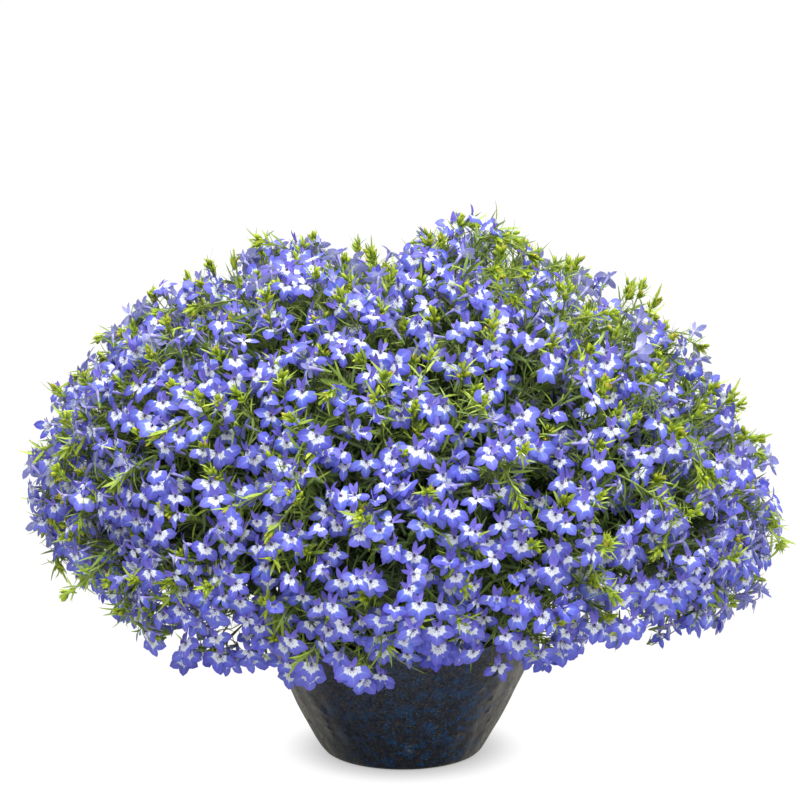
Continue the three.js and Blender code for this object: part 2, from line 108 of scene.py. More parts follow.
def woven(grids, atlas=None, ring=False):
    """The points and quads of n grids of rows by columns, and each corner's place on the atlas. A quad joins
    a point, the next one in its row and the two above them. A ring's last column joins its first."""
    count, rows, columns = grids.shape[:3]
    across = columns if ring else columns - 1
    row, column = np.divmod(np.arange((rows - 1) * across), across)
    row = np.stack([row, row, row + 1, row + 1], 1)
    column = np.stack([column, column + 1, column + 1, column], 1)
    first = np.arange(count)[:, None, None] * rows * columns
    quads = (first + row * columns + column % columns).reshape(-1, 4)
    corners = None if atlas is None else atlas[:, row, column].reshape(-1, 2)
    return grids.reshape(-1, 3), quads, corners


def new_object(name, data):
    """An object of some data, in the scene."""
    made = bpy.data.objects.new(name, data)
    bpy.context.scene.collection.objects.link(made)
    return made


def make_piece(name, points, quads, material, corners=None):
    """A smooth mesh object at the origin, from points, quads and each corner's place on the atlas."""
    mesh = bpy.data.meshes.new(name)
    mesh.vertices.add(len(points))
    mesh.vertices.foreach_set("co", points.astype(np.float32).ravel())
    mesh.loops.add(quads.size)
    mesh.loops.foreach_set("vertex_index", quads.astype(np.int32).ravel())
    mesh.polygons.add(len(quads))
    mesh.polygons.foreach_set("loop_start", np.arange(0, quads.size, 4, dtype=np.int32))
    mesh.polygons.foreach_set("use_smooth", np.ones(len(quads), bool))
    if corners is not None:
        layer = mesh.uv_layers.new(name="OFBake")
        layer.uv.foreach_set("vector", corners.astype(np.float32).ravel())
    mesh.update(calc_edges=True)
    mesh.materials.append(material)
    return new_object(name, mesh)


def weld(piece):
    """Merges the points that meet at a pole, so that the shell is closed there."""
    shell = bmesh.new()
    shell.from_mesh(piece.data)
    bmesh.ops.remove_doubles(shell, verts=shell.verts, dist=1e-6)
    bmesh.ops.dissolve_degenerate(shell, edges=shell.edges, dist=1e-7)
    shell.to_mesh(piece.data)
    shell.free()


def add(tree, kind, inputs=None, **settings):
    """A shader node of a kind with its settings. Each input is set to a value or joined to a socket."""
    node = tree.nodes.new("ShaderNode" + kind)
    for key, value in settings.items():
        setattr(node, key, value)
    for key, value in (inputs or {}).items():
        if isinstance(value, bpy.types.NodeSocket):
            tree.links.new(value, node.inputs[key])
        else:
            node.inputs[key].default_value = value
    return node


def calc(tree, operation, *values):
    """The result of a sum on one to three numbers or sockets."""
    return add(tree, "Math", dict(enumerate(values)), operation=operation).outputs[0]


def times(tree, product, *factors):
    """The product of two or more numbers or sockets."""
    for factor in factors:
        product = calc(tree, "MULTIPLY", product, factor)
    return product


def fade(tree, value, start, end, low=0.0, high=1.0):
    """A number that goes smoothly from low to high as value goes from start to end."""
    inputs = {"Value": value, "From Min": start, "From Max": end, "To Min": low, "To Max": high}
    return add(tree, "MapRange", inputs, interpolation_type="SMOOTHSTEP").outputs["Result"]


def blend(tree, share, first, second):
    """The mix of two colours, all second where share is 1."""
    node = add(tree, "Mix", {0: share, 6: first, 7: second}, data_type="RGBA")
    return node.outputs[2]


def paint(red, green, blue):
    """A linear colour from three display values of 0 to 255: each as a share of 255, to the power 2.2."""
    return tuple((value / 255) ** 2.2 for value in (red, green, blue)) + (1.0,)


def new_group(name, vector, numbers, outputs):
    """An empty node group that takes a vector and some numbers and gives numbers. With it come the sockets of
    what it takes, and its output node."""
    tree = bpy.data.node_groups.new(name, "ShaderNodeTree")
    tree.interface.new_socket(vector, in_out="INPUT", socket_type="NodeSocketVector")
    for label in numbers:
        tree.interface.new_socket(label, in_out="INPUT", socket_type="NodeSocketFloat")
    for label in outputs:
        tree.interface.new_socket(label, in_out="OUTPUT", socket_type="NodeSocketFloat")
    return tree, tree.nodes.new("NodeGroupInput").outputs, tree.nodes.new("NodeGroupOutput")


def noise(tree, vector, scale, detail, roughness=0.5):
    """A cloudy number of 0 to 1 that changes over the surface."""
    inputs = {"Vector": vector, "Scale": scale, "Detail": detail, "Roughness": roughness}
    return add(tree, "TexNoise", inputs).outputs["Fac"]


# Patches of a size that cover more of the surface the lower their threshold is.
patches, given, result = new_group("patches", "Vector", ["Scale", "Threshold", "Softness"], ["Mask"])
cloud = noise(patches, given["Vector"], given["Scale"], 5.0, 0.6)
low = calc(patches, "SUBTRACT", given["Threshold"], given["Softness"])
high = calc(patches, "ADD", given["Threshold"], given["Softness"])
patches.links.new(fade(patches, cloud, low, high), result.inputs["Mask"])


def patchy(tree, vector, scale, threshold, softness):
    """The mask of the patches group, placed in a tree with its own values."""
    inputs = {"Vector": vector, "Scale": scale, "Threshold": threshold, "Softness": softness}
    return add(tree, "Group", inputs, node_tree=patches).outputs["Mask"]


def bumps(tree, height, strength, distance):
    """The normals of a relief that is a distance high where height is 1."""
    inputs = {"Height": height, "Strength": strength, "Distance": distance}
    return add(tree, "Bump", inputs).outputs["Normal"]


def new_material(name):
    """A material and its tree, which is empty."""
    material = bpy.data.materials.new(name)
    material.use_nodes = True
    material.node_tree.nodes.clear()
    return material, material.node_tree


def show(tree, shader):
    """Makes the shader of a node the surface of its material."""
    add(tree, "OutputMaterial", {"Surface": shader.outputs[0]})


glaze, tree = new_material("broken_blue_black_glaze")
place = add(tree, "TexCoord").outputs["Object"]
mottle = patchy(tree, place, 330.0, 0.5, 0.1)
cobalt = patchy(tree, place, 170.0, 0.53, 0.08)
broken = patchy(tree, place, 800.0, 0.5, 0.06)
umber = patchy(tree, place, 640.0, 0.54, 0.06)
drawn_out = add(tree, "Mapping", {"Vector": place, "Scale": (1.0, 1.0, 0.22)}).outputs["Vector"]
runs = patchy(tree, drawn_out, 420.0, 0.5, 0.08)
axes = add(tree, "SeparateXYZ", {"Vector": place}).outputs
sideways = fade(tree, calc(tree, "ABSOLUTE", axes["X"]), 0.03, 0.06)
lower = fade(tree, axes["Z"], 0.08, 0.015, 0.35, 1.0)
rightward = fade(tree, axes["X"], -0.04, 0.03, 0.45, 1.0)
colour = blend(tree, mottle, paint(22, 28, 44), paint(40, 46, 58))
colour = blend(tree, times(tree, umber, 0.7), colour, paint(72, 68, 59))
# Grey-brown streaks on the left and right sides as seen from the front: partly glaze runs, partly painted
# sheen.
colour = blend(tree, times(tree, runs, sideways, 0.5), colour, paint(74, 70, 64))
colour = blend(tree, times(tree, cobalt, broken, lower, rightward), colour, paint(22, 84, 136))
grains = add(tree, "TexVoronoi", {"Vector": place, "Scale": 420.0})
grain_size = add(tree, "SeparateColor", {"Color": grains.outputs["Color"]})
rare = calc(tree, "GREATER_THAN", grain_size.outputs["Red"], 0.7)
speck = times(tree, fade(tree, grains.outputs["Distance"], 0.2, 0.09), rare, 0.75)
colour = blend(tree, speck, colour, paint(136, 126, 104))
dent_radius = side_radius(DENT_HEIGHT)
dent_place = (dent_radius * math.cos(DENT_TURN), dent_radius * math.sin(DENT_TURN), DENT_HEIGHT)
off_dent = add(tree, "VectorMath", {0: place, 1: dent_place}, operation="DISTANCE").outputs["Value"]
# Painted light at the dent: a pale ring on its lip as a painted highlight, and a dark core in its hollow as
# painted shade.
painted_lip_highlight = times(tree, fade(tree, off_dent, 0.0012, 0.0022), fade(tree, off_dent, 0.0038, 0.0026))
colour = blend(tree, times(tree, painted_lip_highlight, mottle, 0.6), colour, paint(96, 94, 86))
colour = blend(tree, fade(tree, off_dent, 0.0018, 0.0008, 0.0, 0.7), colour, paint(14, 16, 22))
# Painted sheen: a pale tone lies over the colour where the wall slants away from the viewer, in place of
# the glaze's grazing reflection. It moves with the camera, so an exported model can't keep it.
slant = add(tree, "LayerWeight", {"Blend": 0.5}).outputs["Facing"]
painted_edge_sheen = times(tree, fade(tree, slant, 0.38, 0.95, 0.0, 0.95), calc(tree, "MULTIPLY_ADD", runs, 0.4, 0.6))
colour = blend(tree, painted_edge_sheen, colour, paint(172, 166, 150))
pinholes = add(tree, "TexVoronoi", {"Vector": place, "Scale": 260.0})
pit = fade(tree, pinholes.outputs["Distance"], 0.22, 0.05)
wavy = noise(tree, place, 260.0, 4.0)
skin = {
    "Base Color": colour,
    "Roughness": fade(tree, wavy, 0.3, 0.7, 0.26, 0.44),
    "Specular IOR Level": 0.4,
    "Normal": bumps(tree, calc(tree, "SUBTRACT", wavy, times(tree, pit, 0.35)), 0.45, 0.0008),
}
show(tree, add(tree, "BsdfPrincipled", skin))

rim_start = BOWL_HEIGHT - RIM_ROUND
flank = np.linspace(0.0025, rim_start, 84)[1:]
inner = np.linspace(rim_start, BOWL_FLOOR + 0.004, 40)
profile = np.concatenate(
    [
        np.stack([np.linspace(0, BOWL_FOOT, 12), np.zeros(12)], 1),
        arc((BOWL_FOOT + 0.0012, FOOT_ROUND), FOOT_ROUND, -80, -30, 7),
        np.stack([side_radius(flank), flank], 1),
        arc((BOWL_RIM - RIM_ROUND, rim_start), RIM_ROUND, 20, 160, 9),
        np.stack([side_radius(inner) - BOWL_WALL, inner], 1)[1:],
        np.stack([np.linspace(side_radius(BOWL_FLOOR) - 0.009, 0, 12), np.full(12, BOWL_FLOOR)], 1),
    ]
)
clay = turned(profile, BOWL_AROUND)
draw = np.random.default_rng(3)
turn = np.arctan2(clay[..., 1], clay[..., 0])
# The relief is on the outside alone, and fades out over the rows next to the foot and the rim.
first_row = 20
on_side = np.zeros(len(profile))
on_side[first_row : first_row + len(flank)] = 1
on_side = np.convolve(np.pad(on_side, 4, mode="edge"), np.ones(9) / 9, mode="valid")[:, None]
relief = np.zeros(clay.shape[:2])
for waves, rise, size in RIPPLES:
    phase = draw.uniform(0, 2 * np.pi, 2)
    relief += RIPPLE * size * np.sin(waves * turn + phase[0]) * np.sin(rise * clay[..., 2] * 2 + phase[1])
sideways = np.abs(np.cos(turn)) ** 3
relief += RIDGE * sideways * np.sin(26 * turn + 40 * clay[..., 2]) * np.sin(60 * clay[..., 2] + 3 * turn)
for _ in range(BLISTERS):
    at, up = draw.uniform(-np.pi, np.pi), draw.uniform(0.008, 0.08)
    apart = np.hypot(((turn - at + np.pi) % (2 * np.pi) - np.pi) * side_radius(up), clay[..., 2] - up)
    relief += draw.uniform(0.0002, 0.0010) * np.exp(-((apart / draw.uniform(0.0010, 0.0020)) ** 2))
apart = np.hypot((turn - DENT_TURN) * side_radius(DENT_HEIGHT), clay[..., 2] - DENT_HEIGHT)
relief += DENT_LIP * np.exp(-(((apart - 0.0028) / 0.0011) ** 2))
relief -= DENT_DEPTH * np.exp(-((apart / 0.0017) ** 2))
away = np.stack([np.cos(turn), np.sin(turn), 0 * turn], 2)
clay += away * (np.clip(relief, -RELIEF_LIMIT, RELIEF_LIMIT) * on_side)[..., None]
points, quads, _ = woven(clay[None], ring=True)
bowl = make_piece("glazed_bowl", points, quads, glaze)
weld(bowl)
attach(bowl, "root")
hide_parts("bowl")

# ---- Soil ----
# Damp potting compost of peat and bark crumbs, pressed in round the roots. It fills the bowl to a finger's
# width below the rim, a little higher in the middle.
SOIL_TOP = 0.073
SOIL_DOME = 0.004
SOIL_GAP = 0.0008
SOIL_AROUND = 160
CRUMB = 0.0011

compost, tree = new_material("damp_compost")
place = add(tree, "TexCoord").outputs["Object"]
damp = patchy(tree, place, 60.0, 0.5, 0.2)
colour = blend(tree, damp, paint(38, 29, 22), paint(56, 43, 31))
earth = {
    "Base Color": blend(tree, patchy(tree, place, 330.0, 0.56, 0.07), colour, paint(92, 70, 48)),
    "Roughness": fade(tree, damp, 0, 1, 0.8, 0.97),
    "Normal": bumps(tree, noise(tree, place, 420.0, 6.0), 0.9, 0.002),
}
show(tree, add(tree, "BsdfPrincipled", earth))

reach = side_radius(SOIL_TOP - SOIL_DOME) - BOWL_WALL - 0.0007
across = np.linspace(0, 1, 46)
top = np.stack([reach * across, SOIL_TOP - SOIL_DOME * across**2 + 0.001 * (1 - across)], 1)
depth = np.linspace(SOIL_TOP - SOIL_DOME - 0.003, 0.012, 14)
side = np.stack([side_radius(depth) - BOWL_WALL - SOIL_GAP, depth], 1)
under = np.stack([np.linspace(side[-1, 0] - 0.002, 0, 10), np.full(10, BOWL_FLOOR + 0.0006)], 1)
heap = turned(np.concatenate([top, side, under]), SOIL_AROUND)
lump = np.zeros(heap.shape[:2])
for _ in range(40):
    pull = draw.normal(0, 330, 2)
    lump += np.sin(heap[..., 0] * pull[0] + heap[..., 1] * pull[1] + draw.uniform(0, 2 * np.pi)) / 4.5
lump *= np.concatenate([1 - across**8, np.zeros(len(side) + len(under))])[:, None]
heap[..., 2] += CRUMB * lump
points, quads, _ = woven(heap[None], ring=True)
soil = make_piece("potting_compost", points, quads[:, ::-1], compost)
weld(soil)
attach(soil, "root")
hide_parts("soil")

# ---- Leafy sprays ----
# Soft green stems that rise out of the soil, arch over the rim and fork into four hundred and fifty shoots.
# Each shoot carries narrow leaves one after another round its stem, and ends in a tuft of small lime-green
# leaves and flower buds. The mound's shape is that of its shoots' ends.
SPRAYS = [f"{number:02d}" for number in range(1, 26)]
MOUND_MIDDLE = 0.150
MOUND_HALF_WIDTH = 0.219
MOUND_HALF_DEPTH = 0.210
MOUND_RISE = 0.160
MOUND_DROP = 0.094
FRINGE_TURN = 0.5
GOLDEN_ANGLE = math.pi * (3 - math.sqrt(5))
# Humps and dips of the mound in millimetres: x, y, z, height and spread.
HUMPS = np.array(
    [[42, 12, 312, 15, 28], [84, 0, 300, 9, 22], [-48, 0, 306, 3, 24], [-84, 0, 300, -6, 18]]
    + [[-20, -30, 306, -28, 23], [-20, 15, 310, -36, 23], [-20, 60, 306, -30, 24], [-20, 105, 288, -18, 28]]
    + [[-148, 0, 281, 15, 22], [-184, 0, 248, -17, 21], [110, 34, 300, -16, 22], [156, 18, 278, -12, 17]]
    + [[122, 0, 296, -25, 26], [172, 0, 262, -6, 20], [188, 0, 246, -10, 16], [-212, 0, 214, 15, 16]]
    + [[-41, 0, 314, 12, 12], [-166, 0, 275, 11, 14], [-219, 0, 172, 2, 30], [-206, -30, 106, -14, 44]]
    + [[222, 0, 138, 3, 30], [216, 0, 204, -23, 30], [192, 0, 90, 26, 40], [20, 130, 270, 7, 44]]
    + [[-30, -190, 150, 5, 44], [150, 130, 150, 5, 44], [-140, 140, 170, 4, 44]]
) / 1000
# Clumps: radians to the metre along x, y and z, and height.
CLUMPS = np.array(
    [[70, 20, -45, 0.0018], [-38, 66, 52, 0.0018], [24, -80, 30, 0.0016], [96, 44, 70, 0.0014]]
    + [[-88, -60, 84, 0.0014]]
)
HOLE_CIRCLE = 0.064
HEAD_DEPTH = 0.092
STEM_BURIED = 0.016
STEM_UPRIGHT = 0.075
STEM_BEND = 0.045
SHOOTS = 450
SHOOT_LOWEST = math.radians(-56)
SHOOT_MARGIN = math.radians(5)
SHOOT_LEAVES = 44
TUFT_LEAVES = 11
BUDS = 9
FILL_LEAVES = 10000
SHADE_LEAVES = 1800
TRAILING = 0.22
# Degrees of latitude, and how thickly the shoots stand there.
SHOOT_DENSITY = np.array([[-60, 0.5], [-40, 0.8], [0, 1.0], [35, 1.06], [90, 1.15]])
# The hem: degrees round the axis, and the latitude of its edge. Its waves: count, degrees high and phase.
HEM = np.array(
    [[-180, -24], [-165, -27], [-150, -25], [-140, -34], [-130, -37], [-118, -38], [-105, -42], [-94, -43]]
    + [[-85, -25], [-78, -40], [-70, -33], [-60, -30], [-54, -36], [-48, -18], [-40, -28], [-28, -32]]
    + [[-14, -39], [0, -41], [20, -42], [60, -47], [90, -43], [120, -48], [150, -40], [168, -29]]
)
HEM_WAVES = np.array([[13, 2.0, 0.4], [22, 2.0, 5.0], [37, 1.5, 2.1]])
# No shoot and no flower is placed outside these corners.
LOW_CORNER = np.array([-0.2275, -0.223, 0.0])
HIGH_CORNER = np.array([0.2285, 0.219, 0.3265])


def mound(azimuth, latitude, depth=0.0):
    """A place on the mound and the way out from it. The mound is an ellipsoid, flatter below its middle than
    above, plus low humps: each adds its height times exp(-(distance / spread) squared). Clumps add their
    height times the sine of the place along a direction."""
    azimuth, latitude, depth = np.broadcast_arrays(azimuth, latitude, depth)
    above = latitude > 0
    tall = np.where(above, MOUND_RISE, MOUND_DROP)
    level, steep = np.cos(latitude), np.sin(latitude)
    flat = [level * np.cos(azimuth), level * np.sin(azimuth)]
    tilt = steep / tall * np.where(above, 1.0, FRINGE_TURN)
    outward = unit(np.stack([flat[0] / MOUND_HALF_WIDTH, flat[1] / MOUND_HALF_DEPTH, tilt], -1))
    place = np.stack(
        [flat[0] * MOUND_HALF_WIDTH, flat[1] * MOUND_HALF_DEPTH, MOUND_MIDDLE + tall * steep], -1
    )
    share = np.linalg.norm(place[..., None, :] - HUMPS[:, :3], axis=-1) / HUMPS[:, 4]
    swell = (HUMPS[:, 3] * np.exp(-(share**2))).sum(-1)
    swell = swell + (CLUMPS[:, 3] * np.sin(place @ CLUMPS[:, :3].T)).sum(-1)
    return place + outward * (swell - depth)[..., None], outward


def unit(vectors):
    """Vectors divided by their length."""
    return vectors / np.maximum(np.linalg.norm(vectors, axis=-1, keepdims=True), 1e-12)


def spread(count, turn, lowest, density):
    """Golden-angle azimuths, with latitudes from the top down such that each takes an equal area over
    density, which is a table of degrees of latitude and weights."""
    edge = np.linspace(math.pi / 2, lowest, 721)
    middle = (edge[1:] + edge[:-1]) / 2
    tall = np.where(middle > 0, MOUND_RISE, MOUND_DROP)
    area = np.cos(middle) * np.hypot(tall * np.cos(middle), MOUND_HALF_WIDTH * np.sin(middle))
    area = area * np.interp(np.degrees(middle), density[:, 0], density[:, 1])
    total = np.concatenate([[0], np.cumsum(area)]) / area.sum()
    order = np.arange(count)
    return order * GOLDEN_ANGLE + turn, np.interp((order + 0.5) / count, total, edge)


def above_hem(azimuth, latitude, margin=0.0):
    """Latitudes kept a margin above the hem of the mound: those below it are put at random higher up. The
    hem is the line of its table, plus the height of each wave times sin(count azimuth + phase)."""
    waves = HEM_WAVES[:, 1] * np.sin(HEM_WAVES[:, 0] * azimuth[:, None] + HEM_WAVES[:, 2])
    hem = np.radians(np.interp(np.degrees(azimuth), HEM[:, 0], HEM[:, 1], period=360) + waves.sum(1)) + margin
    return np.where(latitude < hem, hem + draw.uniform(0.02, 1.2, len(hem)), latitude)


def nearest(places, centres):
    """The number of the centre that lies nearest to each place."""
    return np.linalg.norm(places[:, None] - centres[None], axis=2).argmin(1)


def bow(ends, steps):
    """Cubic curves from four controls (n, 4, 3) at some shares, and their unit tangents."""
    a, b, c, d = (ends[:, None, k] for k in range(4))
    t = np.broadcast_to(steps, (len(ends), np.shape(steps)[-1]))[..., None]
    path = a * (1 - t) ** 3 + 3 * b * t * (1 - t) ** 2 + 3 * c * t**2 * (1 - t) + d * t**3
    way = (b - a) * (1 - t) ** 2 + 2 * (c - b) * t * (1 - t) + (d - c) * t**2
    return path, unit(way)


def square_to(way, hint):
    """Two unit directions square to a way, the first as near as can be to a hint."""
    side = unit(hint - way * (way * hint).sum(-1, keepdims=True))
    return side, np.cross(way, side)


# The atlas is a square of cells, each cut from side to side into parts for the kinds of surface.
ATLAS_CELLS = 4
ATLAS_MARGIN = 0.02
LEAF_PART = (0.0, 0.6)
STEM_PART = (0.6, 0.8)
BUD_PART = (0.8, 1.0)


def on_atlas(cell, across, along, part):
    """Places on the atlas for the columns and rows of each grid: the corner of its cell, plus across from one
    edge of the part to the other, plus along up the cell."""
    column, row = (cell % ATLAS_CELLS)[:, None, None], (cell // ATLAS_CELLS)[:, None, None]
    low, high = part[0] + ATLAS_MARGIN, part[1] - ATLAS_MARGIN
    u = low + (high - low) * across[None, None]
    v = ATLAS_MARGIN + (1 - 2 * ATLAS_MARGIN) * along[None, :, None]
    u, v, column, row = np.broadcast_arrays(u, v, column, row)
    return np.stack([(column + u) / ATLAS_CELLS, (row + v) / ATLAS_CELLS], -1)


def ring_atlas(cell, sides, along, part):
    """Places on the atlas for rings, with one column more than they have sides."""
    return on_atlas(cell, np.arange(sides + 1) / sides, along, part)


def tubes(path, way, radius, sides, hint, cell, along, part, owner):
    """A ring of points round each point of a path: the path plus radius times (cos a, sin a) square to it.
    With them come their places on the atlas, their spray, and that the last column joins the first."""
    first, second = square_to(way, hint)
    angle = np.arange(sides) * 2 * np.pi / sides
    ring = np.cos(angle)[:, None] * first[..., None, :] + np.sin(angle)[:, None] * second[..., None, :]
    grids = path[..., None, :] + np.broadcast_to(radius, path.shape[:2])[..., None, None] * ring
    return grids, ring_atlas(cell, sides, along, part), owner, True


# Blades: shares of their length, and of their width there.
LEAF_BLADE = np.array([[0.0, 0.25, 0.55, 0.82, 1.0], [0.3, 0.85, 1.0, 0.6, 0.05]])
TUFT_BLADE = np.array([[0.0, 0.3, 0.65, 1.0], [0.45, 1.0, 0.8, 0.08]])


def leaves(base, way, face, length, width, droop, blade, cell, owner):
    """Narrow blades of two edges. Along the blade a point lies at base + way t length - face droop t squared
    length; the edges lie half a width times the blade's share to its sides. The rest is as for tubes."""
    face, side = square_to(way, face)
    t = blade[0][None, :, None, None]
    reach = length[:, None, None, None]
    spine = base[:, None, None] + way[:, None, None] * t * reach
    spine = spine - face[:, None, None] * droop[:, None, None, None] * t**2 * reach
    half = (width[:, None] * blade[1])[:, :, None, None] / 2
    grids = spine + half * np.array([-1.0, 1.0])[None, None, :, None] * side[:, None, None]
    return grids, on_atlas(cell, np.array([0, 1]), blade[0], LEAF_PART), owner, False


def splayed(way, hint, turn, opening):
    """Unit directions that open from a way, and the faces that look back to it: radial sin(opening) +
    way cos(opening), and way sin(opening) - radial cos(opening). Radial is square to the way, turned from
    the hint."""
    first, second = square_to(way, hint)
    turn, opening = turn[:, None], opening[:, None]
    radial = first * np.cos(turn) + second * np.sin(turn)
    ahead = radial * np.sin(opening) + way * np.cos(opening)
    return ahead, way * np.sin(opening) - radial * np.cos(opening)


green_parts = []
draw = np.random.default_rng(11)

boxes = [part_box(f"bloom_spray_{number}") for number in SPRAYS]
middles = np.array([(np.array(low) + np.array(high)) / 2 for low, high in boxes])
spray_turn = np.arctan2(middles[:, 1], middles[:, 0])
rise = middles[:, 2] - MOUND_MIDDLE
rise = rise / np.where(rise > 0, MOUND_RISE, MOUND_DROP)
level = np.hypot(middles[:, 0] / MOUND_HALF_WIDTH, middles[:, 1] / MOUND_HALF_DEPTH)
spray_latitude = np.arctan2(rise, level)
heads, spray_out = mound(spray_turn, spray_latitude, HEAD_DEPTH)
centres, _ = mound(spray_turn, spray_latitude)

# The main stems stand in the soil, one to a spray, and rise straight before they arch to their heads.
order = np.arange(len(SPRAYS))
foot = HOLE_CIRCLE * np.sqrt((order + 0.5) / len(SPRAYS))
depth = np.full(len(SPRAYS), SOIL_TOP - STEM_BURIED)
roots = np.stack([foot * np.cos(spray_turn), foot * np.sin(spray_turn), depth], 1)
straight = roots + np.array([0, 0, STEM_UPRIGHT])
stem_ends = np.stack([roots, straight, heads - spray_out * STEM_BEND, heads], 1)
steps = np.linspace(0, 1, 14)
path, way = bow(stem_ends, steps)
girth, hint, cell = np.linspace(0.0024, 0.0015, 14), np.array([0.3, 0.9, 0.2]), np.full(len(SPRAYS), 4)
green_parts.append(tubes(path, way, girth, 7, hint, cell, steps, STEM_PART, order))

# The shoots fork from near their spray's head and end at even places on the mound, some higher than others.
azimuth, latitude = spread(SHOOTS, 0.9, SHOOT_LOWEST, SHOOT_DENSITY)
azimuth = azimuth + draw.normal(0, 0.05, SHOOTS)
latitude = above_hem(azimuth, latitude + draw.normal(0, 0.035, SHOOTS), SHOOT_MARGIN)
surface, out = mound(azimuth, latitude)
owner = nearest(surface, centres)
upright = np.clip(out[:, 2:], 0, 1)
lift = draw.normal(0, 0.0050, (SHOOTS, 1))
sprig = np.where(draw.random((SHOOTS, 1)) < 0.24, draw.uniform(0.006, 0.015, (SHOOTS, 1)), 0)
tips = surface + out * (lift + sprig - 0.004)
tips[:, 2:] += (0.003 + 0.008 * draw.random((SHOOTS, 1))) * upright
tips = np.clip(tips, LOW_CORNER, HIGH_CORNER)
fork = stem_ends[owner, 3] - spray_out[owner] * draw.uniform(0, 0.03, (SHOOTS, 1))
lean = unit(out + draw.normal(0, 0.24, (SHOOTS, 3)) + np.array([0, 0, 0.35]))
shoot_ends = np.stack([fork, fork + spray_out[owner] * 0.02, tips - lean * 0.045, tips], 1)
# Some of them come up early and trail down over the mound, just under its flowers.
trailing = draw.random(SHOOTS) < TRAILING
run = draw.uniform(0.25, 0.5, SHOOTS)
bent = azimuth + draw.normal(0, 0.12, SHOOTS)
early, _ = mound(bent, np.minimum(latitude + run, 1.4), 0.004)
along, _ = mound(bent, np.minimum(latitude + run * 0.4, 1.4), -0.004)
shoot_ends[trailing, 1], shoot_ends[trailing, 2] = early[trailing], along[trailing]
steps = np.linspace(0, 1, 8)
path, way = bow(shoot_ends, steps)
girth, hint = np.linspace(0.0010, 0.0005, 8), unit(draw.normal(0, 1, (SHOOTS, 1, 3)))
cell = draw.integers(5, 11, SHOOTS)
green_parts.append(tubes(path, way, girth, 4, hint, cell, steps, STEM_PART, owner))

# Leaves one after another up each shoot, a golden angle apart, smaller and lighter towards its end.
share = np.linspace(0.2, 0.985, SHOOT_LEAVES)[None] + draw.uniform(-0.015, 0.015, (SHOOTS, SHOOT_LEAVES))
path, way = bow(shoot_ends, share)
base, way = path.reshape(-1, 3), way.reshape(-1, 3)
number = np.tile(np.arange(SHOOT_LEAVES), SHOOTS)
whose = np.repeat(np.arange(SHOOTS), SHOOT_LEAVES)
late = share.ravel()
turn = number * GOLDEN_ANGLE + draw.normal(0, 0.3, len(late))
opening = np.radians(np.interp(late, [0.2, 0.8, 1.0], [70, 58, 36]) + draw.normal(0, 13, len(late)))
ahead, face = splayed(way, hint[whose, 0], turn, opening)
length = np.interp(late, [0.2, 0.6, 1.0], [0.0185, 0.0155, 0.0098]) * draw.uniform(0.65, 1.25, len(late))
width = length * np.interp(late, [0.2, 0.6, 1.0], [0.14, 0.10, 0.11]) * draw.uniform(0.65, 1.35, len(late))
droop = draw.normal(0.16, 0.38, len(late))
# Darker towards the shoot's base, deep in the mound: partly the older leaves' own colour, partly painted
# shade.
age_and_shade = np.interp(late, [0.2, 0.5, 0.8, 1.0], [1.4, 4.8, 8.8, 12.4]) + draw.normal(0, 2, len(late))
cell = np.clip(np.round(age_and_shade), 0, 15).astype(int)
green_parts.append(leaves(base, ahead, face, length, width, droop, LEAF_BLADE, cell, owner[whose]))

# A tuft of small upright leaves at the end of each shoot.
whose = np.repeat(np.arange(SHOOTS), TUFT_LEAVES)
end, end_way = bow(shoot_ends, np.array([1.0]))
end, end_way = end[whose, 0], end_way[whose, 0]
number = np.tile(np.arange(TUFT_LEAVES), SHOOTS)
turn = number * GOLDEN_ANGLE + draw.normal(0, 0.3, len(number))
opening = np.radians(np.linspace(66, 6, TUFT_LEAVES)[number] + draw.normal(0, 12, len(number)))
ahead, face = splayed(end_way, hint[whose, 0], turn, opening)
base = end - end_way * np.linspace(0.009, 0.0, TUFT_LEAVES)[number, None]
length = np.linspace(0.0092, 0.0046, TUFT_LEAVES)[number] * draw.uniform(0.7, 1.2, len(number))
width = length * draw.uniform(0.14, 0.25, len(number))
droop = draw.normal(-0.05, 0.14, len(number))
cell = draw.integers(8, 16, len(number))
green_parts.append(leaves(base, ahead, face, length, width, droop, TUFT_BLADE, cell, owner[whose]))

# Flower buds among the tuft: each is a small pointed egg.
BUD_ROWS = np.array([0.0, 0.3, 0.75, 1.0])
BUD_OUTLINE = np.array([0.35, 0.9, 0.85, 0.08])
whose = np.repeat(np.arange(SHOOTS), BUDS)
end, end_way = bow(shoot_ends, np.array([0.98]))
end, end_way = end[whose, 0], end_way[whose, 0]
turn = draw.uniform(0, 2 * np.pi, len(whose))
ahead, _ = splayed(end_way, hint[whose, 0], turn, draw.uniform(0.1, 0.9, len(whose)))
start = end + ahead * draw.uniform(-0.001, 0.004, (len(whose), 1))
start = start - end_way * draw.uniform(0, 0.006, (len(whose), 1))
length = draw.uniform(0.0034, 0.0060, len(whose))
path = start[:, None] + ahead[:, None] * (BUD_ROWS * length[:, None])[..., None]
girth = length[:, None] * BUD_OUTLINE * draw.uniform(0.18, 0.29, (len(whose), 1))
way = np.broadcast_to(ahead[:, None], path.shape)
cell = draw.integers(0, 16, len(whose))
hint = np.array([0.2, 0.5, 0.8])
green_parts.append(tubes(path, way, girth, 5, hint, cell, BUD_ROWS, BUD_PART, owner[whose]))
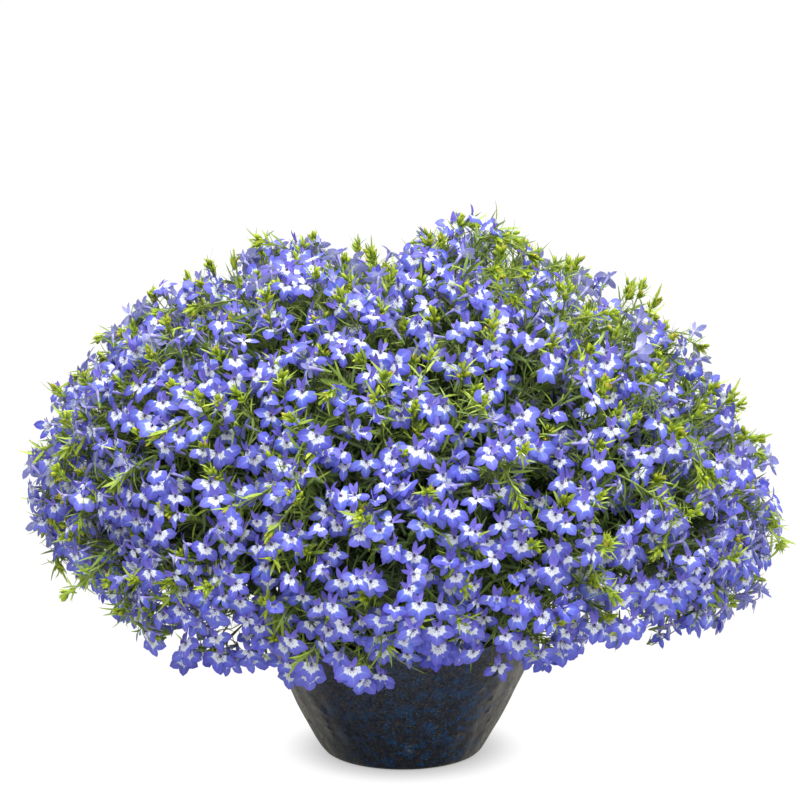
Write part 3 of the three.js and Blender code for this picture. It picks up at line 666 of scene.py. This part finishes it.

# Leaves that fill the inside of the mound, in a darker green the deeper they lie: painted shade.
azimuth = draw.uniform(0, 2 * np.pi, FILL_LEAVES)
_, latitude = spread(FILL_LEAVES, 0, math.radians(-52), SHOOT_DENSITY)
latitude = above_hem(azimuth, latitude, math.radians(4))
deep = 0.018 + 0.07 * draw.random(FILL_LEAVES) ** 1.4
base, out_fill = mound(azimuth, latitude, deep)
ahead = unit(out_fill * 0.5 + draw.normal(0, 0.6, (FILL_LEAVES, 3)))
face = unit(out_fill + draw.normal(0, 0.5, (FILL_LEAVES, 3)))
length = draw.uniform(0.014, 0.025, FILL_LEAVES)
width = length * np.interp(deep, [0.02, 0.04, 0.06], [0.085, 0.12, 0.23])
width = width * draw.uniform(0.8, 1.25, FILL_LEAVES)
droop = draw.normal(0.25, 0.38, FILL_LEAVES)
# Painted shade: the deeper a leaf lies, the darker its cell on the atlas.
cell = np.clip(np.round(5.8 - 130 * deep + draw.normal(0, 1.2, FILL_LEAVES)), 0, 7).astype(int)
green_parts.append(leaves(base, ahead, face, length, width, droop, TUFT_BLADE, cell, nearest(base, centres)))

# Broad, dark leaves close the mound deep inside: dark sheets in the darkest cells, as painted shade.
azimuth = draw.uniform(0, 2 * np.pi, SHADE_LEAVES)
_, latitude = spread(SHADE_LEAVES, 0, math.radians(-48), SHOOT_DENSITY)
latitude = above_hem(azimuth, latitude, math.radians(4))
base, out_fill = mound(azimuth, latitude, draw.uniform(0.055, 0.095, SHADE_LEAVES))
ahead = unit(draw.normal(0, 1, (SHADE_LEAVES, 3)))
face = unit(out_fill + draw.normal(0, 0.2, (SHADE_LEAVES, 3)))
length = draw.uniform(0.024, 0.034, SHADE_LEAVES)
width = length * 0.34
droop = draw.normal(0.2, 0.2, SHADE_LEAVES)
cell = draw.integers(0, 2, SHADE_LEAVES)
green_parts.append(leaves(base, ahead, face, length, width, droop, TUFT_BLADE, cell, nearest(base, centres)))

# Atlas: cells of a square, each with its own chance of a tint, and the place inside the cell.
atlas_outputs = ["Across", "Along", "Order", "Chance"]
atlas_cells, given, result = new_group("atlas_cells", "Atlas", [], atlas_outputs)
split = add(atlas_cells, "SeparateXYZ", {"Vector": given["Atlas"]})
wide = times(atlas_cells, split.outputs["X"], ATLAS_CELLS)
tall = times(atlas_cells, split.outputs["Y"], ATLAS_CELLS)
column, row = calc(atlas_cells, "FLOOR", wide), calc(atlas_cells, "FLOOR", tall)
order = calc(atlas_cells, "MULTIPLY_ADD", row, ATLAS_CELLS, column)
chance = add(atlas_cells, "TexWhiteNoise", {"W": order}, noise_dimensions="1D")
for name, socket in (
    ("Across", calc(atlas_cells, "FRACT", wide)),
    ("Along", calc(atlas_cells, "FRACT", tall)),
    ("Order", calc(atlas_cells, "DIVIDE", order, ATLAS_CELLS**2 - 1)),
    ("Chance", chance.outputs["Value"]),
):
    atlas_cells.links.new(socket, result.inputs[name])


def ramp(tree, value, *stops):
    """Colours between stops, each a place and the three display values of its colour."""
    node = add(tree, "ValToRGB", {"Fac": value})
    elements = node.color_ramp.elements
    while len(elements) < len(stops):
        elements.new(1.0)
    for element, (at, *colour) in zip(elements, stops):
        element.position, element.color = at, paint(*colour)
    return node.outputs["Color"]


def places_on_atlas(tree):
    """The atlas coordinates of a surface, how far across and along their cell they lie, and the cell's order
    and chance."""
    atlas_uv = add(tree, "UVMap", uv_map="OFBake").outputs["UV"]
    return atlas_uv, *add(tree, "Group", {"Atlas": atlas_uv}, node_tree=atlas_cells).outputs


def offset(tree, value, middle, reach):
    """(value - middle) / reach."""
    return calc(tree, "DIVIDE", calc(tree, "SUBTRACT", value, middle), reach)


def thin_sheet(tree, light_through, colour, roughness, normal):
    """A matt sheet that lets a share of the light through it in its own colour."""
    inputs = {"Base Color": colour, "Roughness": roughness, "Normal": normal}
    front = add(tree, "BsdfPrincipled", inputs).outputs["BSDF"]
    through = add(tree, "BsdfTranslucent", {"Color": colour}).outputs["BSDF"]
    show(tree, add(tree, "MixShader", {0: light_through, 1: front, 2: through}))


foliage, tree = new_material("lobelia_leaf")
atlas_uv, across, along, order, chance = places_on_atlas(tree)
off_rib = calc(tree, "ABSOLUTE", offset(tree, across, 0.3, 0.28))
leaf_green = ramp(
    tree,
    order,
    (0.0, 34, 48, 22),
    (0.25, 80, 104, 42),
    (0.55, 142, 168, 76),
    (0.78, 170, 194, 62),
    (1.0, 196, 214, 70),
)
vein = patchy(tree, atlas_uv, 60.0, 0.5, 0.2)
leaf_green = blend(tree, times(tree, vein, 0.25), leaf_green, paint(62, 84, 30))
leaf_green = blend(tree, fade(tree, off_rib, 0.3, 0.05, 0.0, 0.16), leaf_green, paint(176, 192, 110))
leaf_green = blend(tree, fade(tree, off_rib, 0.7, 1.0, 0.0, 0.2), leaf_green, paint(80, 84, 44))
stem_green = blend(tree, chance, paint(112, 138, 52), paint(142, 156, 80))
bud_green = ramp(tree, along, (0.0, 92, 126, 20), (0.45, 146, 174, 28), (1.0, 194, 200, 48))
bud_green = blend(tree, fade(tree, order, 0.0, 1.0, 0.35, 0.0), bud_green, paint(96, 124, 36))
bud_warm = blend(tree, fade(tree, along, 0.5, 1.0), bud_green, paint(206, 164, 70))
bud_green = blend(tree, fade(tree, chance, 0.75, 0.95), bud_green, bud_warm)
colour = blend(tree, calc(tree, "GREATER_THAN", across, STEM_PART[0]), leaf_green, stem_green)
colour = blend(tree, calc(tree, "GREATER_THAN", across, BUD_PART[0]), colour, bud_green)
thin_sheet(tree, 0.34, colour, fade(tree, vein, 0, 1, 0.42, 0.6), bumps(tree, vein, 0.25, 0.0004))


def fused(parts, number):
    """The points, quads and atlas places of one spray's share of all the parts, as one mesh."""
    points, quads, corners, first = [], [], [], 0
    for grids, atlas, owner, ring in parts:
        mine = owner == number
        if not mine.any():
            continue
        made = woven(grids[mine], atlas[mine], ring)
        points.append(made[0])
        quads.append(made[1] + first)
        corners.append(made[2])
        first += len(made[0])
    return np.concatenate(points), np.concatenate(quads), np.concatenate(corners)


for index, number in enumerate(SPRAYS):
    points, quads, corners = fused(green_parts, index)
    spray = make_piece(f"leafy_shoots_{number}", points, quads, foliage, corners)
    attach(spray, "root")
    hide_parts(f"leafy_spray_{number}")

# ---- Flowering tops ----
# Some two thousand four hundred two-lipped flowers, each on a wiry stalk from the side of a shoot. Three
# broad lower lobes spread from a white eye, two narrow ones stand over it, and a pale tube runs back into a
# green calyx with five thin teeth. The petals are thin, matt and slightly see-through.
FLOWERS = 2430
# Degrees of latitude, and how thickly the flowers stand there.
FLOWER_DENSITY = np.array([[-60, 0.4], [-40, 0.75], [-25, 1.06], [0, 1.1], [20, 1.12], [45, 0.98]])
INNER_SHARE = 0.28
FLOWER_LOWEST = math.radians(-60)
MOUND_AREA = 0.44
LOBE_BLADE = np.array([[0.0, 0.28, 0.57, 0.82, 1.0], [0.34, 0.74, 1.0, 0.68, 0.04]])
LOBE_LENGTH = 0.0093
LOBE_HALF = 0.0037
UPPER_BLADE = np.array([[0.0, 0.35, 0.75, 1.0], [0.6, 1.0, 0.8, 0.1]])
UPPER_LENGTH = 0.0070
UPPER_HALF = 0.0014
TUBE_LENGTH = 0.0085
CALYX_END = 0.0125
LOWER_PART = (0.0, 0.5)
UPPER_PART = (0.5, 0.7)
TUBE_PART = (0.7, 0.86)
CALYX_PART = (0.86, 1.0)

blue_parts = []
draw = np.random.default_rng(23)
azimuth, latitude = spread(FLOWERS, 1.7, FLOWER_LOWEST, FLOWER_DENSITY)
step = math.sqrt(MOUND_AREA / FLOWERS)
latitude = latitude + draw.uniform(-0.5, 0.5, FLOWERS) * step / MOUND_RISE
shift = draw.uniform(-0.5, 0.5, FLOWERS) * step / MOUND_HALF_WIDTH
azimuth = azimuth + shift / np.maximum(np.cos(latitude), 0.1)
latitude = above_hem(azimuth, latitude)
place, out = mound(azimuth, latitude)
shoot = nearest(place, tips)
front = (np.abs(place[:, 0]) < 0.075) & (place[:, 1] < 0) & (latitude > 0.1)
inner = draw.random(FLOWERS) < np.where(front, INNER_SHARE / 3, INNER_SHARE)
layer = np.where(inner, draw.uniform(0.009, 0.026, FLOWERS), np.abs(draw.normal(0, 0.0035, FLOWERS)))
layer = layer - np.where(inner, 0.0, 0.8 * lift[shoot, 0])
apart = draw.random(FLOWERS) < 0.1
layer = layer - np.where(apart, draw.uniform(0.002, 0.010, FLOWERS), 0.002 * np.clip(out[:, 2], 0, 1))
# The right shoulder is leafier: there some of the flowers have opened under the leaves.
under = (place[:, 0] > 0.055) & (latitude > 0.3) & (draw.random(FLOWERS) < 0.5)
layer = np.where(under, draw.uniform(0.026, 0.044, FLOWERS), np.maximum(layer, -0.010))
place, _ = mound(azimuth, latitude, layer)
place = np.clip(place, LOW_CORNER, HIGH_CORNER)
# A flower faces outward, and leans back less than the mound does under it. Near the top they turn all ways.
height_share = np.clip(np.sin(latitude), 0, 1)
look_turn = azimuth + draw.normal(0, 1, FLOWERS) * (0.38 + 0.7 * height_share)
look_rise = np.radians(np.clip(8 + 34 * height_share + draw.normal(0, 16, FLOWERS), -22, 68))
level = np.cos(look_rise)
facing = np.stack([level * np.cos(look_turn), level * np.sin(look_turn), np.sin(look_rise)], 1)
roll = draw.normal(0, 1, (FLOWERS, 3)) * (0.26 + 0.5 * height_share[:, None])
up, left = square_to(facing, np.array([0, 0, 1.0]) + roll)
side = -left
flower_owner = owner[shoot]
size = draw.uniform(0.84, 1.12, FLOWERS)
slim = draw.uniform(0.66, 1.08, FLOWERS)
opening_yet = draw.random(FLOWERS) < 0.1
half_open, wide_open = draw.uniform(0.1, 0.6, FLOWERS), draw.uniform(0.85, 1.05, FLOWERS)
openness = np.where(opening_yet, half_open, wide_open)
tint = draw.integers(0, ATLAS_CELLS**2, FLOWERS)


def in_place(local):
    """Points of each flower's own frame (n, ..., 3), in metres from its throat, put where the flower is."""
    shape = (len(local),) + (1,) * (local.ndim - 2) + (3,)
    x, y, z = (local[..., k, None] for k in range(3))
    scale = size.reshape(shape[:-1] + (1,))
    turned_to = x * side.reshape(shape) + y * up.reshape(shape) + z * facing.reshape(shape)
    return place.reshape(shape) + scale * turned_to


def lobes(angle, pitch, length, half, blade, edge, part, rise, curl, cup):
    """A lobe on a grid of t along and s across. It runs from the throat at an angle in the face and a pitch
    out of it: t length ahead, s half w(t) to the side, and rise 4 t (1 - t) - curl t squared - cup s squared
    w(t) above its own plane, where w is the blade's share of its width. The rest is as for tubes."""
    angle, pitch, length, half, curl, cup = (
        np.broadcast_to(value, FLOWERS)[:, None, None] for value in (angle, pitch, length, half, curl, cup)
    )
    t, s, w = blade[0][None, :, None], edge[None, None], blade[1][None, :, None]
    lift = rise * 4 * t * (1 - t) - curl * t**2 - cup * s**2 * w
    ahead = 0.0006 + t * length * np.cos(pitch) - lift * np.sin(pitch)
    above = t * length * np.sin(pitch) + lift * np.cos(pitch)
    aside = s * w * half
    x = ahead * np.cos(angle) - aside * np.sin(angle)
    y = ahead * np.sin(angle) + aside * np.cos(angle)
    grids = in_place(np.stack(np.broadcast_arrays(x, y, above), -1))
    return grids, on_atlas(tint, (edge + 1) / 2, blade[0], part), flower_owner, False


three_lines = np.array([1.0, 0.0, -1.0])
closed = np.clip(1 - openness, 0, 1) * np.radians(82)
for turn, reach, broad in ((-90, 0.96, 0.92), (-90 - 68, 1.0, 1.0), (-90 + 68, 1.0, 1.0)):
    lower_lobes = lobes(
        np.radians(turn + draw.normal(0, 4, FLOWERS)),
        closed + np.radians(draw.normal(-4, 9, FLOWERS)),
        LOBE_LENGTH * reach * draw.uniform(0.92, 1.06, FLOWERS),
        LOBE_HALF * broad * slim,
        LOBE_BLADE,
        three_lines,
        LOWER_PART,
        0.0007,
        draw.uniform(0.0002, 0.0032, FLOWERS),
        draw.normal(0.0004, 0.0009, FLOWERS),
    )
    blue_parts.append(lower_lobes)

two_lines = np.array([1.0, -1.0])
for turn in (90 - 19, 90 + 19):
    upper_lobes = lobes(
        np.radians(turn + draw.normal(0, 7, FLOWERS)),
        closed + np.radians(draw.normal(24, 16, FLOWERS)),
        UPPER_LENGTH * draw.uniform(0.85, 1.1, FLOWERS),
        UPPER_HALF,
        UPPER_BLADE,
        two_lines,
        UPPER_PART,
        0.0004,
        draw.uniform(0.0005, 0.003, FLOWERS),
        0.0,
    )
    blue_parts.append(upper_lobes)


def rings(heights, radii, sides, along, part, above=0.0):
    """Rings round each flower's own axis, or above it: (radius cos a, radius sin a + above, height). The rest
    is as for tubes."""
    angle = np.arange(sides) * 2 * np.pi / sides
    height, radius = np.array(heights)[:, None], np.array(radii)[:, None]
    ring = np.stack([radius * np.cos(angle), radius * np.sin(angle) + above, height + 0 * angle], -1)
    grids = in_place(np.broadcast_to(ring, (FLOWERS,) + ring.shape))
    return grids, ring_atlas(tint, sides, np.array(along), part), flower_owner, True


tube = rings([-TUBE_LENGTH, -0.004, 0.0002], [0.0008, 0.0010, 0.0013], 4, [0.05, 0.5, 0.85], TUBE_PART)
calyx = rings([-CALYX_END, -0.0086], [0.0005, 0.0013], 5, [0.42, 0.62], CALYX_PART)
anthers = rings([-0.0005, 0.0016], [0.0005, 0.0002], 3, [0.92, 0.99], TUBE_PART, above=0.0007)
blue_parts += [tube, calyx, anthers]

# The teeth of the calyx, each a thin blade from its mouth.
along = np.array([0.0, 1.0])[None, :, None]
half = np.array([0.0005, 0.00008])[None, :, None] * two_lines[None, None]
for tooth in range(5):
    turn = tooth * 2 * np.pi / 5 + 0.3
    splay = draw.uniform(0.3, 0.8, FLOWERS)[:, None, None]
    reach = draw.uniform(0.0045, 0.0065, FLOWERS)[:, None, None]
    radius = 0.0011 + along * reach * np.sin(splay)
    height = -0.0094 + along * reach * np.cos(splay)
    x = radius * np.cos(turn) + half * np.sin(turn)
    y = radius * np.sin(turn) - half * np.cos(turn)
    grids = in_place(np.stack(np.broadcast_arrays(x, y, height), -1))
    atlas = on_atlas(tint, (two_lines + 1) / 2, np.array([0.65, 0.95]), CALYX_PART)
    blue_parts.append((grids, atlas, flower_owner, False))

# Each stalk leaves its shoot below the tuft and bends round to the calyx.
gap = np.linalg.norm(place - tips[shoot], axis=1)
share = np.clip(0.93 - gap / 0.09, 0.4, 0.93)[:, None]
node, node_way = bow(shoot_ends[shoot], share)
node, node_way = node[:, 0], node_way[:, 0]
seat = in_place(np.broadcast_to(np.array([0, 0, 0.0002 - CALYX_END]), (FLOWERS, 3)))
far = np.linalg.norm(seat - node, axis=1, keepdims=True)
stalk_ends = np.stack([node, node + node_way * far * 0.4, seat - facing * far * 0.35, seat], 1)
steps = np.linspace(0, 1, 4)
path, way = bow(stalk_ends, steps)
stalks = tubes(path, way, 0.00035, 3, up[:, None], tint, 0.38 * steps, CALYX_PART, flower_owner)
blue_parts.append(stalks)

petal, tree = new_material("lobelia_petal")
atlas_uv, across, along, _, chance = places_on_atlas(tree)
aside = offset(tree, across, 0.25, 0.23)
off_middle = calc(tree, "ABSOLUTE", aside)
uneven = noise(tree, atlas_uv, 55.0, 3.0)
rays = calc(tree, "COSINE", times(tree, aside, 9.4))
eye_edge = calc(tree, "MULTIPLY_ADD", rays, 0.03, calc(tree, "MULTIPLY_ADD", off_middle, -0.2, 0.44))
eye_edge = calc(tree, "ADD", eye_edge, calc(tree, "MULTIPLY_ADD", uneven, 0.16, -0.08))
eye_edge = calc(tree, "ADD", eye_edge, calc(tree, "MULTIPLY_ADD", chance, 0.12, -0.06))
past_eye = calc(tree, "SUBTRACT", along, eye_edge)
eye = fade(tree, past_eye, 0.035, -0.03)
outer = calc(tree, "MULTIPLY_ADD", off_middle, 0.22, along)
blue = ramp(tree, outer, (0.34, 142, 162, 224), (0.54, 91, 109, 208), (0.82, 81, 89, 199), (1.0, 78, 71, 176))
violet = blend(tree, times(tree, chance, 0.55), blue, paint(96, 80, 188))
other_chance = calc(tree, "FRACT", times(tree, chance, 7.13))
violet = blend(tree, times(tree, other_chance, 0.24), violet, paint(142, 154, 222))
crease = times(tree, fade(tree, off_middle, 0.3, 0.0), fade(tree, along, 0.95, 0.45, 0.0, 0.42))
violet = blend(tree, crease, violet, paint(150, 168, 230))
streak = calc(tree, "MULTIPLY_ADD", calc(tree, "COSINE", times(tree, aside, 22.0)), 0.11, 0.12)
violet = blend(tree, streak, violet, paint(64, 60, 168))
lower_lobe = blend(tree, eye, violet, paint(214, 218, 228))
mark = calc(tree, "POWER", offset(tree, off_middle, 0.4, 0.13), 2.0)
mark_along = calc(tree, "POWER", offset(tree, along, 0.15, 0.06), 2.0)
dots = fade(tree, calc(tree, "ADD", mark, mark_along), 1.1, 0.5, 0.0, 0.7)
lower_lobe = blend(tree, dots, lower_lobe, paint(58, 54, 118))
# Painted shade: the base of each lower lobe turns dark grey at the throat's opening.
lower_lobe = blend(tree, fade(tree, along, 0.1, 0.04, 0.0, 0.75), lower_lobe, paint(96, 98, 110))
upper_lobe = ramp(tree, along, (0.0, 174, 170, 216), (0.3, 106, 97, 192), (1.0, 88, 78, 172))
tube_colour = ramp(tree, along, (0.0, 176, 172, 214), (0.5, 138, 130, 208), (0.85, 190, 188, 230))
tube_colour = blend(tree, calc(tree, "GREATER_THAN", along, 0.895), tube_colour, paint(48, 46, 74))
calyx_colour = ramp(
    tree,
    along,
    (0.0, 112, 132, 56),
    (0.35, 130, 130, 84),
    (0.55, 120, 150, 56),
    (1.0, 104, 126, 68),
)
colour = lower_lobe
for part, part_colour in ((UPPER_PART, upper_lobe), (TUBE_PART, tube_colour), (CALYX_PART, calyx_colour)):
    colour = blend(tree, calc(tree, "GREATER_THAN", across, part[0]), colour, part_colour)
petals_only = calc(tree, "LESS_THAN", across, TUBE_PART[0])
behind = add(tree, "NewGeometry").outputs["Backfacing"]
colour = blend(tree, times(tree, behind, petals_only, 0.7), colour, paint(174, 176, 232))
roughness = fade(tree, uneven, 0.3, 0.7, 0.48, 0.66)
thin_sheet(tree, 0.3, colour, roughness, bumps(tree, streak, 0.3, 0.0005))

for index, number in enumerate(SPRAYS):
    points, quads, corners = fused(blue_parts, index)
    spray = make_piece(f"flowers_{number}", points, quads, petal, corners)
    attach(spray, "root")
    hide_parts(f"bloom_spray_{number}")

# ---- Studio ----
# A pale floor, a white surround and three large soft lamps. The camera sees the floor as a glow that dims
# near the pot by ambient occlusion, a painted contact shadow. The camera looks slightly down at the front.
FLOOR_HALF = 30.0
SHADOW_REACH = 0.027

floor_paint, tree = new_material("studio_floor")
seen = add(tree, "LightPath").outputs["Is Camera Ray"]
grain = add(tree, "TexNoise", {"Scale": 40.0})
pale = blend(tree, grain.outputs["Fac"], paint(202, 202, 202), paint(206, 206, 206))
matt = add(tree, "BsdfDiffuse", {"Color": pale})
# Painted shadow: the floor's glow, seen by the camera, dims by ambient occlusion close to the pot.
open_share = add(tree, "AmbientOcclusion", {"Distance": SHADOW_REACH}, samples=16).outputs["AO"]
bright = add(tree, "Emission", {"Strength": fade(tree, open_share, 0.0, 1.0, 0.45, 1.03)})
show(tree, add(tree, "MixShader", {0: seen, 1: matt.outputs[0], 2: bright.outputs[0]}))
ground = FLOOR_HALF * np.array([[-1, -1, 0], [1, -1, 0], [-1, 1, 0], [1, 1, 0]])
points, quads, _ = woven(ground.reshape(1, 2, 2, 3))
floor = make_piece("studio_ground", points, quads, floor_paint)
floor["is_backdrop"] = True

AMBIENT = 0.71

world = bpy.data.worlds.new("studio")
bpy.context.scene.world = world
world.use_nodes = True
tree = world.node_tree
seen = add(tree, "LightPath").outputs["Is Camera Ray"]
surround = tree.nodes["Background"].inputs
surround["Color"].default_value = (1.0, 1.0, 1.0, 1.0)
tree.links.new(calc(tree, "MULTIPLY_ADD", seen, 1 - AMBIENT, AMBIENT), surround["Strength"])

CAMERA_RISE = math.radians(12)
CAMERA_AWAY = 2.0
PICTURE_WIDTH = 0.480
SENSOR = 36.0
TARGET = np.array([-0.0015, 0.0, 0.2170])


def lamp(name, azimuth, rise, distance, width, power):
    """A square soft lamp that faces the middle of the plant, placed by its azimuth and rise in degrees."""
    data = bpy.data.lights.new(name, "AREA")
    data.shape, data.size, data.energy = "SQUARE", width, power
    aim_from(new_object(name, data), math.radians(azimuth), math.radians(rise), distance)


def aim_from(thing, azimuth, rise, distance):
    """Puts a thing at a distance from the target, and turns its -Z axis to it."""
    back = Vector((math.sin(azimuth) * math.cos(rise), -math.cos(azimuth) * math.cos(rise), math.sin(rise)))
    thing.location = Vector(TARGET) + back * distance
    thing.rotation_euler = (-back).to_track_quat("-Z", "Y").to_euler()


lamp("key_lamp", 4, 50, 1.8, 1.2, 15)
lamp("top_lamp", 10, 80, 1.6, 1.2, 58)
lamp("fill_lamp", 48, 25, 2.0, 1.5, 8)

lens = bpy.data.cameras.new("front_camera")
lens.sensor_width = SENSOR
lens.lens = SENSOR * CAMERA_AWAY / PICTURE_WIDTH
camera = new_object("front_camera", lens)
aim_from(camera, 0.0, CAMERA_RISE, CAMERA_AWAY)
bpy.context.scene.camera = camera
bpy.context.scene.view_settings.view_transform = "Standard"

boxes = {"cad": [list(corner) for corner in cad_box], "visual": [list(corner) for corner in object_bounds()]}
